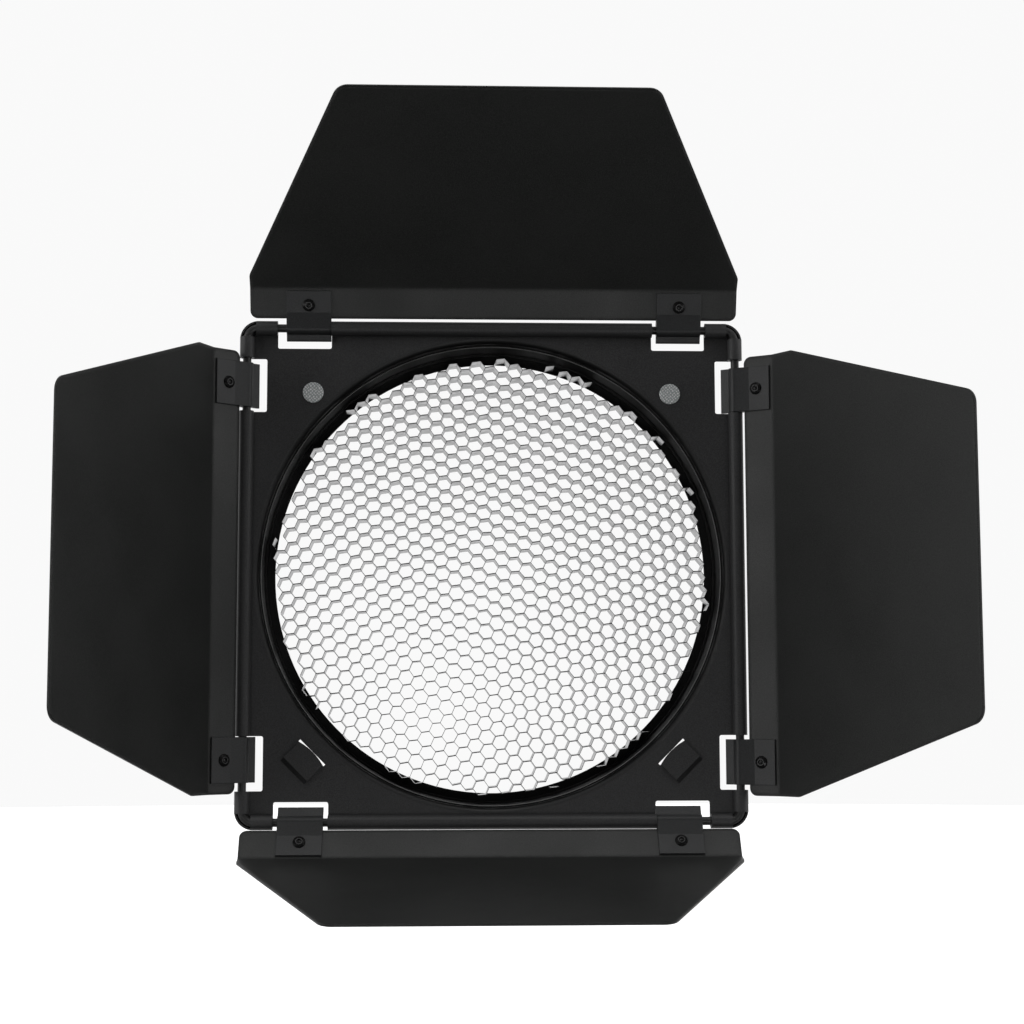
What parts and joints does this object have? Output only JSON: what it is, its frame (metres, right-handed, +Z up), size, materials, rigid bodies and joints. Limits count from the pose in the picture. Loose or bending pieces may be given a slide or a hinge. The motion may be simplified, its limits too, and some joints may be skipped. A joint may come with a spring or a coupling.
{
  "type": "barn door",
  "caption": "Barn door for a studio reflector: square plate with a honeycomb grid, four bent leaves hinged on a wire, and a clamping collar behind.",
  "frame": {"origin": "centre of the reflector's seat, at the front end of the collar's socket", "axes": "+Z up as the light hangs in use, front towards -Y, +Y backwards along the socket's axis"},
  "size_m": [0.3203, 0.1497, 0.3051],
  "materials": {
    "plate_paint": "matte powder coat",
    "collar_paint": "matte powder coat",
    "wire_paint": "satin black coating",
    "leaf_paint": "fine matte powder coat",
    "clip_paint": "matte powder coat",
    "rivet_black": "satin black",
    "magnet_nickel": "nickel plated, dull",
    "foil": "bare rolled foil",
    "zinc_steel": "bright zinc",
    "knob_plastic": "fine moulded texture"
  },
  "bodies": {
    "frame": {"back_plate": "plate_paint", "hinge_wire": "wire_paint", "collar": "collar_paint", "grid_ledge": "collar_paint", "honeycomb": "foil", "magnet_left": "magnet_nickel", "magnet_right": "magnet_nickel", "nut_upper_right": "zinc_steel", "nut_upper_left": "zinc_steel", "nut_lower_left": "zinc_steel", "nut_lower_right": "zinc_steel"},
    "leaf_top": {"leaf_top": "leaf_paint", "clip_top_a": "clip_paint", "clip_top_b": "clip_paint", "rivet_top_a": "rivet_black", "rivet_top_b": "rivet_black"},
    "leaf_left": {"leaf_left": "leaf_paint", "clip_left_a": "clip_paint", "clip_left_b": "clip_paint", "rivet_left_a": "rivet_black", "rivet_left_b": "rivet_black"},
    "leaf_bottom": {"leaf_bottom": "leaf_paint", "clip_bottom_a": "clip_paint", "clip_bottom_b": "clip_paint", "rivet_bottom_a": "rivet_black", "rivet_bottom_b": "rivet_black"},
    "leaf_right": {"leaf_right": "leaf_paint", "clip_right_a": "clip_paint", "clip_right_b": "clip_paint", "rivet_right_a": "rivet_black", "rivet_right_b": "rivet_black"},
    "thumbscrew_upper_right": {"screw_upper_right": "zinc_steel", "knob_upper_right": "knob_plastic"},
    "thumbscrew_upper_left": {"screw_upper_left": "zinc_steel", "knob_upper_left": "knob_plastic"},
    "thumbscrew_lower_left": {"screw_lower_left": "zinc_steel", "knob_lower_left": "knob_plastic"},
    "thumbscrew_lower_right": {"screw_lower_right": "zinc_steel", "knob_lower_right": "knob_plastic"}
  },
  "joints": [
    {"name": "top_leaf_hinge", "type": "hinge", "parent": "frame", "child": "leaf_top", "pos_m": [0, -0.02395, 0.0975], "axis": [1, 0, 0], "range_deg": [-102, 108]},
    {"name": "left_leaf_hinge", "type": "hinge", "parent": "frame", "child": "leaf_left", "pos_m": [-0.0975, -0.02395, 0], "axis": [0, 0, 1], "range_deg": [-126, 112]},
    {"name": "bottom_leaf_hinge", "type": "hinge", "parent": "frame", "child": "leaf_bottom", "pos_m": [0, -0.02395, -0.0975], "axis": [-1, 0, 0], "range_deg": [-119, 81]},
    {"name": "right_leaf_hinge", "type": "hinge", "parent": "frame", "child": "leaf_right", "pos_m": [0.0975, -0.02395, 0], "axis": [0, 0, -1], "range_deg": [-117.5, 117.5]},
    {"name": "upper_right_thumbscrew", "type": "slide", "parent": "frame", "child": "thumbscrew_upper_right", "axis": [-0.866, 0, -0.5], "range_m": [0, 0.0025]},
    {"name": "upper_left_thumbscrew", "type": "slide", "parent": "frame", "child": "thumbscrew_upper_left", "axis": [0.866, 0, -0.5], "range_m": [0, 0.0025]},
    {"name": "lower_left_thumbscrew", "type": "slide", "parent": "frame", "child": "thumbscrew_lower_left", "axis": [0.866, 0, 0.5], "range_m": [0, 0.0025]},
    {"name": "lower_right_thumbscrew", "type": "slide", "parent": "frame", "child": "thumbscrew_lower_right", "axis": [-0.866, 0, 0.5], "range_m": [0, 0.0025]}
  ]
}
